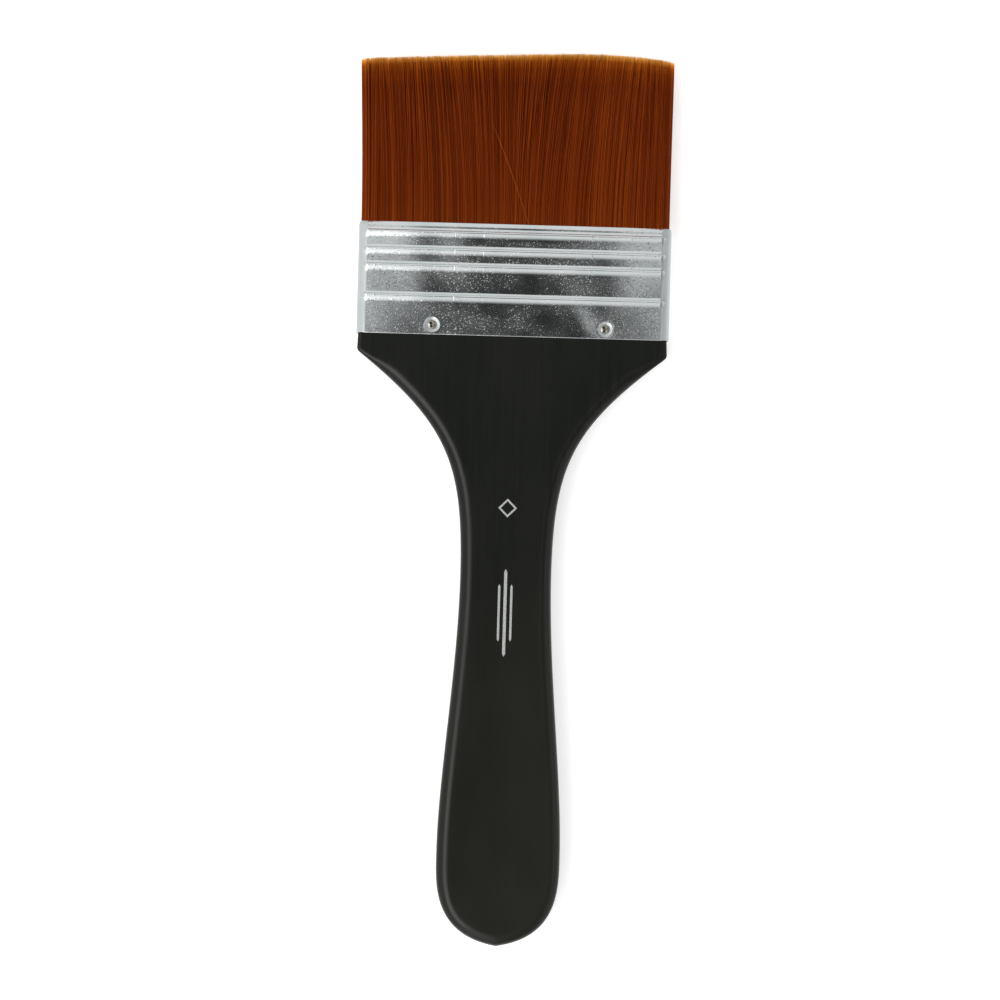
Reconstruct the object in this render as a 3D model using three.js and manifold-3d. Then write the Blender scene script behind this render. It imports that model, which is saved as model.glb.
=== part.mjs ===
// A flat varnish brush, lying on its back: a lacquered board handle, a beaded tinplate
// ferrule nailed to it, and a wide tuft of filaments that flexes just outside the ferrule.
//
// Millimetres. +X is across the brush, +Y runs along it to the bristle tips, +Z is up,
// out of the front face. The origin is the middle of the brush, on the surface it lies on.

import * as THREE from "three";
import { mergeVertices } from "three/addons/utils/BufferGeometryUtils.js";
import Module from "manifold-3d";

const wasm = await Module();
wasm.setup();

// ---------------------------------------------------------------- driving dimensions

const overallLength = 220;
const tipY = overallLength / 2;
const tailY = -overallLength / 2;
const gap = 0.3; // between pieces that rest on or in each other

const freeLength = 42.8; // of the filaments, outside the ferrule
const ferruleLength = 27.4;
const ferruleWidth = 76.8;
const ferruleThickness = 10;
const ferruleCorner = 2;
const sheet = 0.4;
const mouthY = tipY - freeLength;
const ferruleEndY = mouthY - ferruleLength;

const beadHeight = 0.55;
const beadRise = 0.8; // from a bead's foot on the mouth's side to its crest
const beadFall = 1.9; // from its crest to its foot on the handle's side
const beadsFromMouth = [2.5, 6.8, 10.8, 18.2]; // their crests

const middleZ = ferruleThickness / 2 + beadHeight;

const boreWidth = ferruleWidth - 2 * sheet;
const boreThickness = ferruleThickness - 2 * sheet;
const fillWidth = boreWidth - 2 * gap;
const fillThickness = boreThickness - 2 * gap;
const fillCorner = ferruleCorner - sheet;

const boardThickness = 9.6;
const roundOver = 2.4;
const headHalfWidth = 38;
const shoulderLength = 4.25; // straight side of the head, outside the ferrule
const sweepReach = new THREE.Vector2(-22.9, -17.9); // from its corner along the sweep below it
const neck = new THREE.Vector2(11.2, -19);
const grip = new THREE.Vector2(15.2, -87);
const tenonLength = 12.2;

const nailX = [-19.7, 22.7];
const nailFromEnd = 2.4;
const nailLength = 3.2; // below the head
const nailShank = 0.55;
const nailHead = 1.15;
const dishRadius = 2.05;
const dishDepth = 0.75;
const holeRadius = 0.95;

const resinLength = 3.5;
const plugWidth = 70;
const plugThickness = 2.5;
const plugLength = 9;

const hingeFromMouth = 0.15 * freeLength; // where a clamped bundle of filaments bends
const hingeY = mouthY + hingeFromMouth;
const tuftTipWidth = 77.4;
const tuftTipThickness = 5.2;
const tuftCorner = 2.2;
const tipPeakX = 16; // where the filaments are longest
const tipDropLeft = 2.5; // how much shorter they are at the left corner
const tipDropRight = 1.6;

// ---------------------------------------------------------------- solids and booleans

function solidFrom(geometry) {
  const bare = geometry.clone();
  bare.deleteAttribute("normal");
  bare.deleteAttribute("uv");
  const merged = mergeVertices(bare, 1e-4);
  return new wasm.Manifold(
    new wasm.Mesh({
      numProp: 3,
      vertProperties: new Float32Array(merged.attributes.position.array),
      triVerts: new Uint32Array(merged.index.array),
    }),
  );
}

function geometryFrom(solid) {
  const mesh = solid.getMesh();
  const geometry = new THREE.BufferGeometry();
  geometry.setAttribute("position", new THREE.BufferAttribute(mesh.vertProperties, 3));
  geometry.setIndex(new THREE.BufferAttribute(mesh.triVerts, 1));
  geometry.computeVertexNormals();
  return geometry;
}

function boxSolid(width, length, thickness, centre) {
  const box = new THREE.BoxGeometry(width, length, thickness);
  box.translate(centre.x, centre.y, centre.z);
  return solidFrom(box);
}

// ---------------------------------------------------------------- sections

// A rounded rectangle in the XZ plane, as stations in order round it. Each station has its
// place, the direction out of the section, and whether it is on one of the wide faces.
function sectionStations(width, thickness, corner, arcSteps, wideSteps, narrowSteps) {
  const stations = [];
  const halfWidth = width / 2 - corner;
  const halfThickness = thickness / 2 - corner;
  const turns = [
    { x: halfWidth, z: halfThickness, from: 0, flat: wideSteps },
    { x: -halfWidth, z: halfThickness, from: 1, flat: narrowSteps },
    { x: -halfWidth, z: -halfThickness, from: 2, flat: wideSteps },
    { x: halfWidth, z: -halfThickness, from: 3, flat: narrowSteps },
  ];
  turns.forEach((turn, index) => {
    for (let step = 0; step <= arcSteps; step++) {
      const angle = ((turn.from + step / arcSteps) * Math.PI) / 2;
      const normalX = Math.cos(angle);
      const normalZ = Math.sin(angle);
      const x = turn.x + corner * normalX;
      const z = turn.z + corner * normalZ;
      stations.push({ x, z, normalX, normalZ, wide: Math.abs(normalZ) > 0.999 });
    }
    const last = stations[stations.length - 1];
    const next = turns[(index + 1) % turns.length];
    const nextX = next.x + corner * last.normalX;
    const nextZ = next.z + corner * last.normalZ;
    for (let step = 1; step < turn.flat; step++) {
      const share = step / turn.flat;
      stations.push({
        ...last,
        x: THREE.MathUtils.lerp(last.x, nextX, share),
        z: THREE.MathUtils.lerp(last.z, nextZ, share),
      });
    }
  });
  return stations;
}

// A bar with a rounded rectangular section, from one Y to another, about the middle plane.
function bar(width, thickness, corner, fromY, toY, steps = 1, wideSteps = 1) {
  const stations = sectionStations(width, thickness, corner, 5, wideSteps, 1);
  const outline = stations.map((station) => new THREE.Vector2(station.x, -station.z));
  const geometry = new THREE.ExtrudeGeometry(new THREE.Shape(outline), {
    depth: toY - fromY,
    steps,
    bevelEnabled: false,
  });
  geometry.rotateX(-Math.PI / 2);
  geometry.translate(0, fromY, middleZ);
  return geometry;
}

// ---------------------------------------------------------------- nails and their dishes

// Each nail stands at a place on a wide face, with local +Y pointing out of that face.
function nailPlaces() {
  const faces = [
    { side: "front", turn: Math.PI / 2, z: middleZ + ferruleThickness / 2 },
    { side: "back", turn: -Math.PI / 2, z: middleZ - ferruleThickness / 2 },
  ];
  return faces.flatMap((face) =>
    nailX.map((x, index) => ({
      name: `nail_${face.side}_${index === 0 ? "left" : "right"}`,
      matrix: new THREE.Matrix4()
        .makeTranslation(x, ferruleEndY + nailFromEnd, face.z)
        .multiply(new THREE.Matrix4().makeRotationX(face.turn)),
    })),
  );
}

function turned(profile, matrix, segments = 20) {
  const points = profile.map(([radius, height]) => new THREE.Vector2(radius, height));
  const geometry = new THREE.LatheGeometry(points, segments);
  if (matrix) geometry.applyMatrix4(matrix);
  return geometry;
}

function nailGeometry(matrix) {
  const headTop = -0.4;
  const headEnd = -dishDepth;
  const point = headEnd - nailLength;
  return turned(
    [
      [0, point],
      [nailShank, point + 1],
      [nailShank, headEnd],
      [nailHead - 0.3, headEnd],
      [nailHead, headTop - 0.1],
      [nailHead - 0.15, headTop],
      [0.45, headTop],
      [0, headTop - 0.2],
    ],
    matrix,
  );
}

// The sheet metal that the punch pushed in, before the dish is cut out of it.
function dishBacking(matrix, extra) {
  return turned(
    [
      [0, -dishDepth - sheet - extra],
      [holeRadius + sheet + extra, -dishDepth - sheet - extra],
      [dishRadius + sheet + extra, -sheet / 2],
      [0, -sheet / 2],
    ],
    matrix,
  );
}

function dishHollow(matrix) {
  return turned(
    [
      [0, -dishDepth - 2 * sheet],
      [holeRadius, -dishDepth - 2 * sheet],
      [holeRadius, -dishDepth],
      [dishRadius, 0],
      [dishRadius, 1],
      [0, 1],
    ],
    matrix,
  );
}

function nailBore(matrix) {
  const radius = nailShank + 0.1;
  const end = -dishDepth - nailLength - gap;
  return turned(
    [
      [0, end],
      [radius, end],
      [radius, 0],
      [0, 0],
    ],
    matrix,
  );
}

// ---------------------------------------------------------------- handle

function handleOutline() {
  const corner = new THREE.Vector2(headHalfWidth, ferruleEndY - shoulderLength);
  const beyond = ferruleEndY + 3 * roundOver;
  const sweep = new THREE.CubicBezierCurve(
    corner,
    corner.clone().add(sweepReach),
    new THREE.Vector2(neck.x, neck.y + 27.3),
    neck,
  );
  const flank = new THREE.CubicBezierCurve(
    neck,
    new THREE.Vector2(neck.x, neck.y - 23),
    new THREE.Vector2(grip.x, grip.y + 18.8),
    grip,
  );
  const tail = new THREE.CubicBezierCurve(
    grip,
    new THREE.Vector2(grip.x, grip.y - 7.7),
    new THREE.Vector2(16, tailY + 2.5),
    new THREE.Vector2(0, tailY),
  );
  const right = [
    new THREE.Vector2(headHalfWidth, beyond),
    ...sweep.getPoints(24),
    ...flank.getPoints(14).slice(1),
    ...tail.getPoints(16).slice(1),
  ];
  const left = right
    .slice(0, -1)
    .reverse()
    .map((point) => new THREE.Vector2(-point.x, point.y));
  return new THREE.Shape([...right, ...left]);
}

function handleGeometry() {
  const board = new THREE.ExtrudeGeometry(handleOutline(), {
    depth: boardThickness - 2 * roundOver,
    bevelThickness: roundOver,
    bevelSize: roundOver,
    bevelOffset: -roundOver,
    bevelSegments: 4,
  });
  board.translate(0, 0, middleZ - boardThickness / 2 + roundOver);
  const waste = boxSolid(2 * ferruleWidth, 40, 40, new THREE.Vector3(0, ferruleEndY + 20, middleZ));
  const tenonEnd = ferruleEndY + tenonLength;
  const tenon = solidFrom(bar(fillWidth, fillThickness, fillCorner, ferruleEndY - 2, tenonEnd));
  let solid = solidFrom(board).subtract(waste).add(tenon);
  for (const place of nailPlaces()) {
    solid = solid.subtract(solidFrom(dishBacking(place.matrix, gap)));
    solid = solid.subtract(solidFrom(nailBore(place.matrix)));
  }
  return geometryFrom(solid);
}

// ---------------------------------------------------------------- ferrule

// One face of the sheet from the handle end to the mouth: distance from the mouth, and how
// far the beads push it out there.
function beadedLine() {
  const line = [[ferruleLength, 0]];
  const steps = 4;
  for (const crest of [...beadsFromMouth].reverse()) {
    for (let step = steps; step >= -steps; step--) {
      const share = step / steps;
      const reach = share > 0 ? beadFall : beadRise;
      const lift = beadHeight * THREE.MathUtils.smoothstep(1 - Math.abs(share), 0, 1);
      line.push([crest + share * reach, lift]);
    }
  }
  line.push([0, 0]);
  return line;
}

function ferruleGeometry() {
  const stations = sectionStations(ferruleWidth, ferruleThickness, ferruleCorner, 6, 2, 2);
  const line = beadedLine();
  const outer = line.map(([fromMouth, lift]) => ({ fromMouth, lift, inset: 0 }));
  const inner = line.map(([fromMouth, lift]) => ({ fromMouth, lift, inset: sheet })).reverse();
  const wall = [...outer, ...inner].reverse();
  wall.push(wall[0]);
  const radius = ferruleThickness;
  const points = wall.map(
    (spot) => new THREE.Vector2(radius + spot.lift - spot.inset, mouthY - spot.fromMouth),
  );
  const tube = new THREE.LatheGeometry(points, stations.length);
  const position = tube.attributes.position;
  for (let index = 0; index < position.count; index++) {
    const station = stations[Math.floor(index / points.length) % stations.length];
    const spot = wall[index % points.length];
    const out = (station.wide ? spot.lift : 0) - spot.inset;
    position.setXYZ(
      index,
      station.x + station.normalX * out,
      mouthY - spot.fromMouth,
      middleZ + station.z + station.normalZ * out,
    );
  }
  let solid = solidFrom(tube);
  for (const place of nailPlaces()) {
    solid = solid.add(solidFrom(dishBacking(place.matrix, 0)));
    solid = solid.subtract(solidFrom(dishHollow(place.matrix)));
  }
  const seamWidth = 0.3;
  const seamDepth = sheet / 2;
  const seamPlace = new THREE.Vector3(ferruleWidth / 2, mouthY - ferruleLength / 2, middleZ + 1.4);
  const seam = boxSolid(2 * seamDepth, ferruleLength + 1, seamWidth, seamPlace);
  return geometryFrom(solid.subtract(seam));
}

// ---------------------------------------------------------------- what fills the ferrule

const resinStartY = ferruleEndY + tenonLength + gap;
const rootStartY = resinStartY + resinLength + gap;

function resinGeometry() {
  return bar(fillWidth, fillThickness, fillCorner, resinStartY, resinStartY + resinLength);
}

function plugGeometry() {
  return bar(plugWidth, plugThickness, 0.6, rootStartY, rootStartY + plugLength);
}

function hingeCylinder(radius, length) {
  const cylinder = new THREE.CylinderGeometry(radius, radius, length, 28);
  cylinder.rotateZ(Math.PI / 2);
  cylinder.translate(0, hingeY, middleZ);
  return solidFrom(cylinder);
}

// One bank of filaments, from the resin to just short of the bend. Its outer end is hollowed
// so that the tuft's round root turns in it.
function bankRootGeometry(direction) {
  const whole = solidFrom(bar(fillWidth, fillThickness, tuftCorner, rootStartY, hingeY));
  const half = fillThickness;
  const sideZ = middleZ + direction * (half / 2 + gap / 2);
  const side = boxSolid(2 * fillWidth, 100, half, new THREE.Vector3(0, rootStartY, sideZ));
  const plugEnd = rootStartY + plugLength + gap;
  const plugRoom = bar(
    plugWidth + 2 * gap,
    plugThickness + 2 * gap,
    0.6,
    rootStartY - gap,
    plugEnd,
  );
  const hollow = hingeCylinder(fillThickness / 2 + gap, 2 * fillWidth);
  return geometryFrom(whole.intersect(side).subtract(solidFrom(plugRoom)).subtract(hollow));
}

// ---------------------------------------------------------------- tuft

// How much shorter than the longest ones the filaments are at a place across the tips.
function tipDrop(x) {
  const onLeft = x < tipPeakX;
  const reach = tuftTipWidth / 2 + (onLeft ? tipPeakX : -tipPeakX);
  const share = Math.abs(x - tipPeakX) / reach;
  return onLeft ? tipDropLeft * share ** 1.3 : tipDropRight * share ** 2.5;
}

function tuftGeometry() {
  const length = tipY - hingeY;
  const bundle = bar(fillWidth, fillThickness, tuftCorner, 0, 1, 4, 12);
  const position = bundle.attributes.position;
  for (let index = 0; index < position.count; index++) {
    const share = position.getY(index);
    const widen = THREE.MathUtils.lerp(1, tuftTipWidth / fillWidth, share);
    const thin = THREE.MathUtils.lerp(1, tuftTipThickness / fillThickness, share);
    const x = position.getX(index) * widen;
    const z = middleZ + (position.getZ(index) - middleZ) * thin;
    position.setXYZ(index, x, hingeY + share * (length - tipDrop(x)), z);
  }
  const root = hingeCylinder(fillThickness / 2, fillWidth - 2 * tuftCorner);
  return geometryFrom(solidFrom(bundle).add(root));
}

// ---------------------------------------------------------------- materials and assembly

const lacquer = new THREE.MeshStandardMaterial({ color: 0x20221e, roughness: 0.45 });
const tinplate = new THREE.MeshStandardMaterial({ color: 0xc8cdcc, roughness: 0.25, metalness: 1 });
const nailSteel = new THREE.MeshStandardMaterial({ color: 0x8f8a7c, roughness: 0.4, metalness: 1 });
const resin = new THREE.MeshStandardMaterial({ color: 0xb79a5a, roughness: 0.3 });
const plugWood = new THREE.MeshStandardMaterial({ color: 0xc9a877, roughness: 0.8 });
const filament = new THREE.MeshStandardMaterial({ color: 0x8a3c12, roughness: 0.5 });

const brush = new THREE.Group();
brush.name = "flat_varnish_brush";

function place(name, geometry, material) {
  const mesh = new THREE.Mesh(geometry, material);
  mesh.name = name;
  brush.add(mesh);
}

place("handle", handleGeometry(), lacquer);
place("ferrule", ferruleGeometry(), tinplate);
for (const { name, matrix } of nailPlaces()) {
  place(name, nailGeometry(matrix), nailSteel);
}
place("resin_set", resinGeometry(), resin);
place("spacer_plug", plugGeometry(), plugWood);
place("front_bank_root", bankRootGeometry(1), filament);
place("back_bank_root", bankRootGeometry(-1), filament);
place("tuft", tuftGeometry(), filament);

export default brush;
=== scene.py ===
"""Looks for a wide flat varnish brush lying on its back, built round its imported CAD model."""

import math

import bmesh
import bpy
import numpy as np
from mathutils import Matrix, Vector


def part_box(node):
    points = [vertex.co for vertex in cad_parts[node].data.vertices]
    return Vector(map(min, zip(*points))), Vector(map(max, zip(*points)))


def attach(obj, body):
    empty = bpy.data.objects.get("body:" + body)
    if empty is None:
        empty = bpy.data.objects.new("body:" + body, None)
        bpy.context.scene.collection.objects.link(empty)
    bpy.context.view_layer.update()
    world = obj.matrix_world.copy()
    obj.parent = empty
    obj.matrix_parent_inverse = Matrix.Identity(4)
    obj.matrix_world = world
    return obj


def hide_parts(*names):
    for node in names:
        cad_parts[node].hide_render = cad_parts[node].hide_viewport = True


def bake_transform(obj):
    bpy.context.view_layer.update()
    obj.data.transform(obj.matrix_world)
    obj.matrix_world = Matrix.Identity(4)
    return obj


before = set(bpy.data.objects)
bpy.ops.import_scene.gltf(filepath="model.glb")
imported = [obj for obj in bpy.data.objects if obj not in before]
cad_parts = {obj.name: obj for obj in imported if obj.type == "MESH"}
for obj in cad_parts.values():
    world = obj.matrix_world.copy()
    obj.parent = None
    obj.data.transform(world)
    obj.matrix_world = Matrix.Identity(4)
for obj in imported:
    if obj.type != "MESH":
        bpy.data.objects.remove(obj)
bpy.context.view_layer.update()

# ------------------------------------------------------------------ sizes, in metres

MM = 0.001

ferrule_low, ferrule_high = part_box("ferrule")
handle_low, handle_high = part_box("handle")
tuft_low, tuft_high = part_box("tuft")
root_low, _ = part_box("front_bank_root")
plug_low, plug_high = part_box("spacer_plug")

MOUTH_Y = ferrule_high.y
FERRULE_END_Y = ferrule_low.y
TIP_Y = tuft_high.y
TAIL_Y = handle_low.y
MIDDLE_Z = (ferrule_low.z + ferrule_high.z) / 2
FERRULE_LENGTH = MOUTH_Y - FERRULE_END_Y
FREE_LENGTH = TIP_Y - MOUTH_Y

SHEET = 0.4 * MM
CORNER = 2.0 * MM
FERRULE_HALF_WIDTH = ferrule_high.x
FERRULE_HALF_THICKNESS = 5.0 * MM

BEAD_CRESTS = [2.5 * MM, 6.8 * MM, 10.8 * MM, 18.2 * MM]  # distances from the mouth
BEAD_RISE = 0.8 * MM
BEAD_FALL = 1.9 * MM
BEAD_HEIGHT = 0.55 * MM
BEAD_END = 1.5 * MM  # from a bead's end to the side of the ferrule
SEAM_Z = 1.4 * MM

NAIL_X = [-19.7 * MM, 22.7 * MM]
NAIL_Y = FERRULE_END_Y + 2.4 * MM
DISH_RADIUS = 1.75 * MM
DISH_LIP = 1.3 * MM
DISH_FLOOR = 1.02 * MM

BOARD_HALF_THICKNESS = (handle_high.z - handle_low.z) / 2
ROUND_OVER = 2.1 * MM  # down from the face
ROUND_OVER_REACH = 2.9 * MM  # in from the edge
HEAD_HALF_WIDTH = handle_high.x
SHOULDER_Y = FERRULE_END_Y - 4.25 * MM
SHOULDER_ROUNDING = 0.7 * MM
SWEEP_REACH = (-22.9 * MM, -17.9 * MM)
HEAD_TAPER = 0.15 * MM
TENON_LENGTH = 12.2 * MM
TENON_HALF_WIDTH = 37.6 * MM
NECK = (11.2 * MM, -19 * MM)
GRIP = (15.2 * MM, -87 * MM)

BANK_HALF_THICKNESS = (tuft_high.z - tuft_low.z) / 2
BANK_HALF_WIDTH = FERRULE_HALF_WIDTH - SHEET
TUFT_CORNER = 2.2 * MM
PLUG_HALF_THICKNESS = (plug_high.z - plug_low.z) / 2
FILAMENT_RADIUS = 0.1 * MM
PITCH = 0.2 * MM  # from filament to filament across the brush
LAYERS = 13  # of filaments in each bank
PARTS_PER_BANK = 4
TIP_HALF_WIDTH = tuft_high.x
TIP_HALF_THICKNESS = 2.6 * MM
TIP_PEAK_X = 16 * MM
TIP_DROP_LEFT = 2.5 * MM
TIP_DROP_RIGHT = 1.6 * MM
TIP_SHIFT = -0.5 * MM  # the whole tuft leans slightly to the left
FAN_RIGHT = 4.4 * MM  # how far the tips spread to each side
FAN_LEFT = 3.1 * MM
LOOSE_RADIUS = 0.07 * MM
LOOSE_LENGTH = 25 * MM

LOZENGE_Y = -2.3 * MM
LOZENGE_HALF = 2.3 * MM
LOZENGE_LINE = 0.62 * MM
BARS_Y = -28 * MM

rng = np.random.default_rng(8)


# ------------------------------------------------------------------ mesh helpers


def mesh_object(name, vertices, faces, smooth=True):
    """A mesh object from arrays of points and of faces."""
    mesh = bpy.data.meshes.new(name)
    mesh.from_pydata(np.asarray(vertices).tolist(), [], [list(map(int, f)) for f in faces])
    mesh.polygons.foreach_set("use_smooth", [smooth] * len(mesh.polygons))
    mesh.update()
    piece = bpy.data.objects.new(name, mesh)
    bpy.context.scene.collection.objects.link(piece)
    return piece


def ring_faces(rows, columns, start=0):
    """Quads between closed rings of points, ring after ring."""
    row = np.arange(rows - 1)[:, None]
    column = np.arange(columns)[None, :]
    following = (column + 1) % columns
    a = start + row * columns + column
    b = start + row * columns + following
    c = start + (row + 1) * columns + following
    d = start + (row + 1) * columns + column
    return np.stack([a, b, c, d], axis=-1).reshape(-1, 4)


def point_attribute(piece, name, values):
    """Stores one number for each point, which the materials read by name."""
    attribute = piece.data.attributes.new(name, "FLOAT", "POINT")
    attribute.data.foreach_set("value", np.asarray(values, np.float32))


def smoothstep(low, high, value):
    share = np.clip((value - low) / (high - low), 0, 1)
    return share * share * (3 - 2 * share)


def wave_noise(x, y, longest, count, seed):
    """Gentle unevenness between about -1 and 1: a few waves in random directions."""
    source = np.random.default_rng(seed)
    total = np.zeros(np.broadcast(x, y).shape)
    for _ in range(count):
        heading = source.uniform(0, math.pi)
        length = longest * source.uniform(0.35, 1)
        phase = source.uniform(0, 2 * math.pi)
        along = x * math.cos(heading) + y * math.sin(heading)
        total += np.sin(2 * math.pi * along / length + phase)
    return total / math.sqrt(count)


# ------------------------------------------------------------------ material helpers


def new_material(name):
    material = bpy.data.materials.new(name)
    material.use_nodes = True
    tree = material.node_tree
    return material, tree, tree.nodes["Principled BSDF"]


def node(tree, kind, settings=None, **inputs):
    """Adds a node. Settings are its own properties, inputs are values or other nodes' outputs."""
    made = tree.nodes.new(kind)
    for key, value in (settings or {}).items():
        setattr(made, key, value)
    for key, value in inputs.items():
        socket = made.inputs[int(key[1:])] if key[0] == "i" and key[1:].isdigit() else made.inputs[key]
        if isinstance(value, bpy.types.NodeSocket):
            tree.links.new(value, socket)
        else:
            socket.default_value = value
    return made


def stretched(tree, scale):
    """Object coordinates multiplied by a scale for each axis."""
    place = node(tree, "ShaderNodeTexCoord")
    return node(tree, "ShaderNodeMapping", i0=place.outputs["Object"], Scale=scale).outputs[0]


def noise(tree, scale, detail=2.0, roughness=0.5, size=1.0):
    """Noise from 0 to 1 whose grains are about 1 / scale metres along each axis."""
    made = node(
        tree,
        "ShaderNodeTexNoise",
        Vector=stretched(tree, scale),
        Scale=size,
        Detail=detail,
        Roughness=roughness,
    )
    return made.outputs["Fac"]


def attribute(tree, name):
    return node(tree, "ShaderNodeAttribute", {"attribute_name": name}).outputs["Fac"]


def mapped(tree, value, from_low, from_high, to_low, to_high):
    made = node(
        tree,
        "ShaderNodeMapRange",
        i0=value,
        i1=from_low,
        i2=from_high,
        i3=to_low,
        i4=to_high,
    )
    return made.outputs["Result"]


def ramp(tree, value, *stops):
    """A colour ramp. Each stop is a place from 0 to 1 and a linear colour."""
    made = node(tree, "ShaderNodeValToRGB", Fac=value)
    points = made.color_ramp.elements
    while len(points) < len(stops):
        points.new(0.5)
    for point, (position, colour) in zip(points, stops):
        point.position = position
        point.color = (*colour, 1)
    return made.outputs["Color"]


def math_node(tree, operation, first, second):
    return node(tree, "ShaderNodeMath", {"operation": operation}, i0=first, i1=second).outputs[0]


def mixed(tree, kind, factor, first, second):
    """Mixes two colours by kind, such as MIX or MULTIPLY."""
    made = node(tree, "ShaderNodeMix", {"data_type": "RGBA", "blend_type": kind})
    for socket, value in zip((0, 6, 7), (factor, first, second)):
        if isinstance(value, bpy.types.NodeSocket):
            tree.links.new(value, made.inputs[socket])
        else:
            made.inputs[socket].default_value = value
    return made.outputs[2]


def bump(tree, height, depth, strength=1.0, under=None):
    """A bump of that depth in metres, on top of another bump if one is given."""
    made = node(tree, "ShaderNodeBump", Height=height, Distance=depth, Strength=strength)
    if under is not None:
        tree.links.new(under, made.inputs["Normal"])
    return made.outputs["Normal"]


# ------------------------------------------------------------------ materials


def flakes(tree, scale, tilt):
    """Normals of tiny crystals: one in four is tilted, by up to half the given amount."""
    cells = node(tree, "ShaderNodeTexVoronoi", Vector=stretched(tree, (scale, scale, scale)))
    cells.inputs["Scale"].default_value = 1.0
    lots = node(tree, "ShaderNodeSeparateColor", i0=cells.outputs["Color"])
    chosen = math_node(tree, "MULTIPLY", mapped(tree, lots.outputs[2], 0.75, 1, 0, 1), tilt)
    aside = node(tree, "ShaderNodeVectorMath", {"operation": "SUBTRACT"}, i0=cells.outputs["Color"])
    aside.inputs[1].default_value = (0.5, 0.5, 0.5)
    aside = node(tree, "ShaderNodeVectorMath", {"operation": "SCALE"}, i0=aside.outputs[0], Scale=chosen)
    flat = node(tree, "ShaderNodeNewGeometry").outputs["Normal"]
    total = node(tree, "ShaderNodeVectorMath", {"operation": "ADD"}, i0=flat, i1=aside.outputs[0])
    return node(tree, "ShaderNodeVectorMath", {"operation": "NORMALIZE"}, i0=total.outputs[0]).outputs[0]


def lacquer_material():
    """Black semi-matt lacquer over wood: faint grain, rubbed patches, a painted sheen that lightens it
    towards the tail, and paler edges that are partly rubbed lacquer and partly a painted highlight.
    """
    material, tree, shader = new_material("black_lacquer")
    grain = noise(tree, (1500, 45, 1500), detail=4, roughness=0.6)
    patches = noise(tree, (60, 25, 60), detail=3)
    specks = noise(tree, (2200, 2200, 2200), detail=1)
    body = ramp(tree, grain, (0.3, (0.0068, 0.0083, 0.0064)), (0.75, (0.0108, 0.0125, 0.0099)))
    # Dust patches, and a painted sheen that grows towards the tail, both mix the lacquer towards the
    # same paler colour.
    dust_and_sheen = mapped(tree, patches, 0.35, 0.7, 0.0, 0.3)
    dust_and_sheen = math_node(tree, "ADD", dust_and_sheen, mapped(tree, attribute(tree, "tailward_sheen"), 0, 1, 0, 0.6))
    body = mixed(tree, "MIX", dust_and_sheen, body, (0.0178, 0.0181, 0.0133, 1))
    # Edges are mixed towards a paler colour: partly rubbed lacquer, partly a painted highlight along the
    # round-over.
    edge = attribute(tree, "edge")
    wear_and_sheen = math_node(tree, "MULTIPLY", edge, mapped(tree, grain, 0.35, 0.7, 0.1, 0.6))
    body = mixed(tree, "MIX", wear_and_sheen, body, (0.02, 0.02, 0.017, 1))
    tree.links.new(body, shader.inputs["Base Color"])
    tree.links.new(mapped(tree, patches, 0.3, 0.7, 0.17, 0.24), shader.inputs["Roughness"])
    relief = bump(tree, grain, 0.00003, 0.35)
    relief = bump(tree, specks, 0.00001, 0.25, relief)
    tree.links.new(relief, shader.inputs["Normal"])
    shader.inputs["Specular IOR Level"].default_value = 0.24
    return material


def tinplate_material():
    """Bright tinned sheet: fine sparkle in cloudy patches, roll marks across the beads, and a rougher
    finish at the narrow sides and round the nail dishes, darkened there with painted shade.
    """
    material, tree, shader = new_material("tinplate")
    fine = noise(tree, (7000, 7000, 7000), detail=1)
    clouds = noise(tree, (110, 150, 110), detail=3)
    streaks = noise(tree, (700, 8, 700), detail=1)
    tint = ramp(tree, clouds, (0.3, (0.70, 0.74, 0.745)), (0.7, (0.80, 0.83, 0.83)))
    satin = attribute(tree, "satin")
    # Where the finish is rougher, its colour is also darkened: painted shade that dims its reflections.
    tint = mixed(tree, "MIX", mapped(tree, satin, 0, 1, 0, 0.5), tint, (0.5, 0.53, 0.53, 1))
    tree.links.new(tint, shader.inputs["Base Color"])
    polish = mapped(tree, clouds, 0.3, 0.7, 0.08, 0.13)
    rough = math_node(tree, "ADD", polish, math_node(tree, "MULTIPLY", satin, 0.5))
    tree.links.new(rough, shader.inputs["Roughness"])
    sparkle = flakes(tree, 5600, mapped(tree, clouds, 0.35, 0.65, 0.06, 0.17))
    relief = bump(tree, fine, 0.0000012, 1.0, sparkle)
    lines = mapped(tree, streaks, 0.68, 0.74, 0.0, 1.0)
    lines = math_node(tree, "MULTIPLY", lines, attribute(tree, "bead"))
    relief = bump(tree, lines, 0.00002, 1.0, relief)
    tree.links.new(relief, shader.inputs["Normal"])
    shader.inputs["Metallic"].default_value = 1.0
    return material


def nail_material():
    """Dull steel of a driven nail, with painted shade making its pits dark and a painted highlight on
    the burr that the punch raised.
    """
    material, tree, shader = new_material("nail_steel")
    mottle = noise(tree, (1800, 1800, 1800), detail=4, roughness=0.65)
    tint = ramp(
        tree,
        mottle,
        (0.3, (0.12, 0.105, 0.075)),
        (0.55, (0.34, 0.33, 0.27)),
        (0.75, (0.62, 0.61, 0.55)),
    )
    # The pits are mixed to near black: painted shade.
    pit_shade = mapped(tree, attribute(tree, "pitted"), 0.25, 0.6, 0.0, 0.98)
    tint = mixed(tree, "MIX", pit_shade, tint, (0.02, 0.017, 0.012, 1))
    # The burr is mixed to near white: a painted highlight.
    burr_glint = mapped(tree, attribute(tree, "burr_glint"), 0.3, 0.6, 0.0, 1.0)
    tint = mixed(tree, "MIX", burr_glint, tint, (0.95, 0.94, 0.9, 1))
    tree.links.new(tint, shader.inputs["Base Color"])
    tree.links.new(mapped(tree, mottle, 0.3, 0.7, 0.6, 0.4), shader.inputs["Roughness"])
    tree.links.new(bump(tree, mottle, 0.00008, 0.6), shader.inputs["Normal"])
    shader.inputs["Metallic"].default_value = 0.9
    return material


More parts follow.
